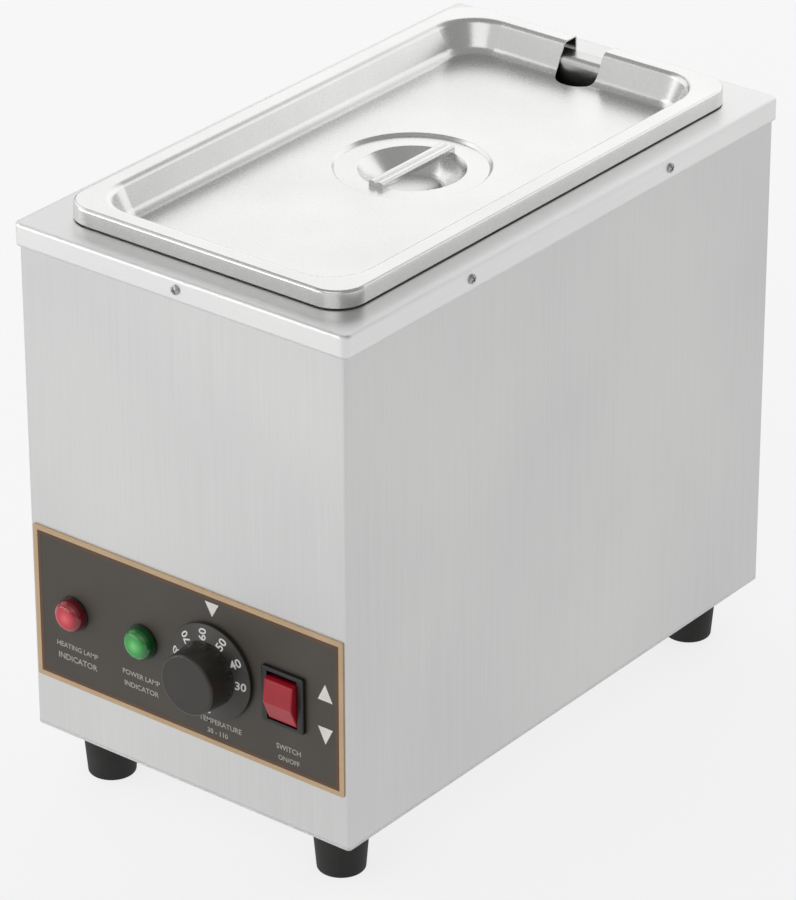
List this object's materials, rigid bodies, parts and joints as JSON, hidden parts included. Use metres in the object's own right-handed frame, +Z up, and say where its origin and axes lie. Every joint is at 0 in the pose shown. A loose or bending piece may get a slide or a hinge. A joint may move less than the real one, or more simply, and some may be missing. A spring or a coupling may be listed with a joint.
{
  "type": "chocolate melter",
  "caption": "Counter-top water-bath chocolate melter: brushed steel casing on feet, hung pan with a recessed-handle lid, and a front panel with lamps, knob and rocker switch.",
  "frame": {"origin": "on the counter's surface, under the middle of the overall box from the knob to the cable gland", "axes": "+X to the right as seen from the front, +Y from the front to the back, +Z up"},
  "size_m": [0.217, 0.4042, 0.332],
  "materials": {
    "casing_steel": "brushed stainless sheet",
    "lid_steel": "satin drawn stainless sheet",
    "pan_steel": "satin drawn stainless sheet",
    "screw_steel": "zinc plated steel",
    "foot_rubber": "matte moulded rubber",
    "silicone": "smooth silicone",
    "spreader_aluminium": "rolled sheet",
    "element_sheath": "heat-tinted stainless tube",
    "copper": "drawn copper",
    "panel_print": "printed matte charcoal with a tan edge line",
    "knob_plastic": "fine satin moulding with white numbers",
    "black_plastic": "satin moulding",
    "phenolic": "moulded phenolic",
    "red_lens": "clear red moulding",
    "green_lens": "clear green moulding",
    "rocker_red": "glossy red moulding",
    "ceramic": "glazed ceramic"
  },
  "bodies": {
    "base": {"body_shell": "casing_steel", "top_cover": "casing_steel", "cover_screws": "screw_steel", "base_plate": "casing_steel", "base_screws": "screw_steel", "foot_front_left": "foot_rubber", "foot_front_right": "foot_rubber", "foot_back_left": "foot_rubber", "foot_back_right": "foot_rubber", "foot_washers": "screw_steel", "foot_bolts": "screw_steel", "foot_nuts": "screw_steel", "water_tank": "pan_steel", "tank_gasket": "silicone", "tank_studs": "screw_steel", "tank_nuts": "screw_steel", "heat_plate": "spreader_aluminium", "heating_element": "element_sheath", "element_clamp_bars": "screw_steel", "element_clamp_studs": "screw_steel", "element_clamp_nuts": "screw_steel", "safety_cutout": "phenolic", "cutout_strap": "screw_steel", "cutout_studs": "screw_steel", "bulb_pocket": "screw_steel", "thermostat_capillary": "copper", "thermostat_bracket": "screw_steel", "thermostat_body": "phenolic", "thermostat_screws": "screw_steel", "control_panel": "panel_print", "red_lamp_lens": "red_lens", "green_lamp_lens": "green_lens", "lamp_holders": "black_plastic", "lamp_nuts": "screw_steel", "switch_housing": "black_plastic", "switch_blades": "screw_steel", "cable_gland": "black_plastic", "gland_cap": "black_plastic", "gland_seal": "foot_rubber", "gland_locknut": "black_plastic", "terminal_block": "ceramic", "terminal_screws": "screw_steel", "earth_stud": "screw_steel", "earth_nuts": "screw_steel"},
    "pan": {"food_pan": "pan_steel"},
    "lid": {"lid": "lid_steel", "lid_handle": "lid_steel"},
    "knob": {"temperature_knob": "knob_plastic", "thermostat_shaft": "screw_steel"},
    "rocker": {"switch_rocker": "rocker_red"}
  },
  "joints": [
    {"name": "pan_lift", "type": "slide", "parent": "base", "child": "pan", "axis": [0, 0, 1], "range_m": [0, 0.2]},
    {"name": "lid_lift", "type": "slide", "parent": "pan", "child": "lid", "axis": [0, 0, 1], "range_m": [0, 0.08]},
    {"name": "knob_turn", "type": "hinge", "parent": "base", "child": "knob", "pos_m": [0.0179, 0.00105, 0.1075], "axis": [0, 1, 0], "range_deg": [-93, 177]},
    {"name": "switch_rock", "type": "hinge", "parent": "base", "child": "rocker", "pos_m": [0.0649, -0.17575, 0.1075], "axis": [-1, 0, 0], "range_deg": [0, 16]}
  ]
}
